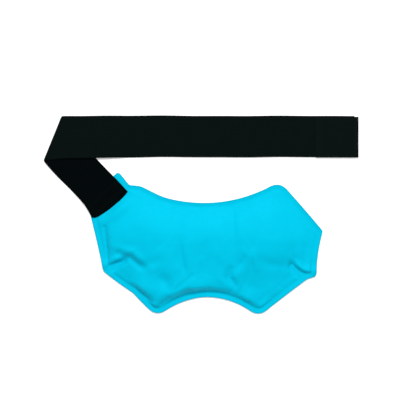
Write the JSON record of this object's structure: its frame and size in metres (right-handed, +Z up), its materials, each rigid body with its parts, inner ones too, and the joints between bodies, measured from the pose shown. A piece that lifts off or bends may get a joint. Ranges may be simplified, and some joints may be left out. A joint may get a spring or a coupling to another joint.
{
  "type": "cold compression wrap",
  "caption": "Flat bow-shaped gel pack with a welded rim and an elastic strap on one shoulder, folded back and ending in a hook patch.",
  "frame": {"origin": "middle of the laid-out wrap's bounding box, on the surface it lies on", "axes": "+X along the strap's run towards the hook patch, +Y from the gel pack towards the strap, +Z up out of the front cover"},
  "size_m": [0.3801, 0.2386, 0.0156],
  "materials": {
    "cover": "satin",
    "gel": "gloss",
    "strap": "matte",
    "hook": "matte",
    "thread": "matte"
  },
  "bodies": {
    "pack_left": {"back_cover_left": "cover", "gel_left": "gel", "front_cover_left": "cover", "strap_lead": "strap", "tab_stitching": "thread"},
    "pack_right": {"back_cover_right": "cover", "gel_right": "gel", "front_cover_right": "cover"},
    "strap_run": {"strap_run": "strap"},
    "strap_middle": {"strap_middle": "strap"},
    "hook_end": {"strap_end": "strap", "hook_patch": "hook", "patch_stitching": "thread"}
  },
  "joints": [
    {"name": "pack_fold", "type": "hinge", "parent": "pack_left", "child": "pack_right", "pos_m": [0.00888, -0.045, 0.0156], "axis": [0, -1, 0], "range_deg": [0, 100]},
    {"name": "strap_unfold", "type": "hinge", "parent": "pack_left", "child": "strap_run", "pos_m": [-0.1789, 0.09431, 0.00285], "axis": [-0.4067, -0.9135, 0], "range_deg": [0, 180]},
    {"name": "strap_curl", "type": "hinge", "parent": "strap_run", "child": "strap_middle", "pos_m": [-0.0094, 0.09431, 0.0015], "axis": [0, 1, 0], "range_deg": [-100, 0]},
    {"name": "hook_tab_peel", "type": "hinge", "parent": "strap_middle", "child": "hook_end", "pos_m": [0.1366, 0.09431, 0.0015], "axis": [0, 1, 0], "range_deg": [-135, 0]}
  ]
}
